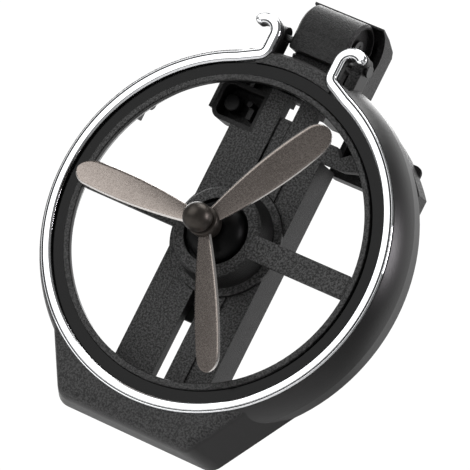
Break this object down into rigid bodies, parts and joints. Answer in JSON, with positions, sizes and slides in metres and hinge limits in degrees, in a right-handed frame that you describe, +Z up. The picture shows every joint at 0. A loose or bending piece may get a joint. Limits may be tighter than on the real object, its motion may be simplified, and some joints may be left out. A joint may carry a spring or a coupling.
{
  "type": "folding cup holder",
  "caption": "Folding air-vent cup holder: a chrome-trimmed ring hinged to a slotted back frame, with a free-spinning three-blade propeller in the ring.",
  "frame": {"origin": "middle of the vent clip's grip, between its two rubber pads", "axes": "+X to the right seen from the front, +Y back towards the vent, +Z up"},
  "size_m": [0.1014, 0.063, 0.1218],
  "materials": {
    "satin_black_plastic": "fine spark-eroded grain, satin",
    "gloss_black_plastic": "polished",
    "frame_plastic": "fine spark-eroded grain",
    "chrome_plating": "bright plated",
    "propeller_metal": "satin gunmetal, bright bevelled edges",
    "spinner_metal": "dark gloss gunmetal",
    "steel": "plain",
    "dark_steel": "blackened",
    "acetal": "natural, smooth",
    "rubber": "matt"
  },
  "bodies": {
    "bracket": {"arch_bracket": "satin_black_plastic", "back_plate": "frame_plastic", "left_back_pad": "rubber", "right_back_pad": "rubber", "bracket_screws": "dark_steel", "clip_base": "satin_black_plastic", "clip_screws": "dark_steel", "lower_clip_pad": "rubber", "jaw_pin": "steel", "clip_spring": "steel"},
    "jaw": {"clip_jaw": "satin_black_plastic", "upper_clip_pad": "rubber"},
    "frame": {"spine_frame": "frame_plastic", "hinge_block": "satin_black_plastic", "tilt_pin": "steel", "tilt_pin_screws": "dark_steel", "ring_pins": "steel", "hub_spider": "frame_plastic", "hub_screws": "dark_steel", "hub_dome": "gloss_black_plastic", "front_bush": "acetal", "rear_bush": "acetal", "right_catch": "frame_plastic", "latch_housing": "satin_black_plastic"},
    "fan": {"axle": "steel", "retaining_clip": "steel", "propeller": "propeller_metal", "spinner_cap": "spinner_metal", "axle_collar": "spinner_metal"},
    "ring": {"ring_shell": "satin_black_plastic", "chrome_trim": "chrome_plating", "gloss_band": "gloss_black_plastic", "ring_back_cover": "satin_black_plastic", "ring_screws": "dark_steel", "rest_pins": "steel"},
    "rest": {"cup_rest": "satin_black_plastic", "rest_pad": "rubber"},
    "button": {"latch_button": "gloss_black_plastic"},
    "slider": {"leg_slider": "frame_plastic", "leg_pin": "steel"},
    "leg": {"support_leg": "frame_plastic", "leg_foot": "rubber"}
  },
  "joints": [
    {"name": "jaw_open", "type": "hinge", "parent": "bracket", "child": "jaw", "pos_m": [0, -0.0093, 0.00345], "axis": [1, 0, 0], "range_deg": [0, 14], "stiffness_Nm_per_rad": 0.12, "springref_deg": -28.65},
    {"name": "frame_tilt", "type": "hinge", "parent": "bracket", "child": "frame", "pos_m": [0, -0.0273, 0.01375], "axis": [-1, 0, 0], "range_deg": [0, 20]},
    {"name": "fan_spin", "type": "hinge", "parent": "frame", "child": "fan", "pos_m": [0, -0.0469, -0.04495], "axis": [0, -1, 0], "continuous": true},
    {"name": "ring_swing", "type": "hinge", "parent": "frame", "child": "ring", "pos_m": [0, -0.0309, 0.00905], "axis": [-1, 0, 0], "range_deg": [0, 90]},
    {"name": "cup_rest_swing", "type": "hinge", "parent": "ring", "child": "rest", "pos_m": [0, -0.0307, -0.01995], "axis": [1, 0, 0], "range_deg": [0, 70]},
    {"name": "latch_press", "type": "slide", "parent": "frame", "child": "button", "axis": [0, 1, 0], "range_m": [0, 0.0012], "stiffness_N_per_m": 400, "springref_m": -0.001},
    {"name": "leg_slide", "type": "slide", "parent": "frame", "child": "slider", "axis": [0, 0, 1], "range_m": [-0.008, 0]},
    {"name": "leg_swing", "type": "hinge", "parent": "slider", "child": "leg", "pos_m": [0, -0.0247, -0.02145], "axis": [1, 0, 0], "range_deg": [0, 75]}
  ]
}
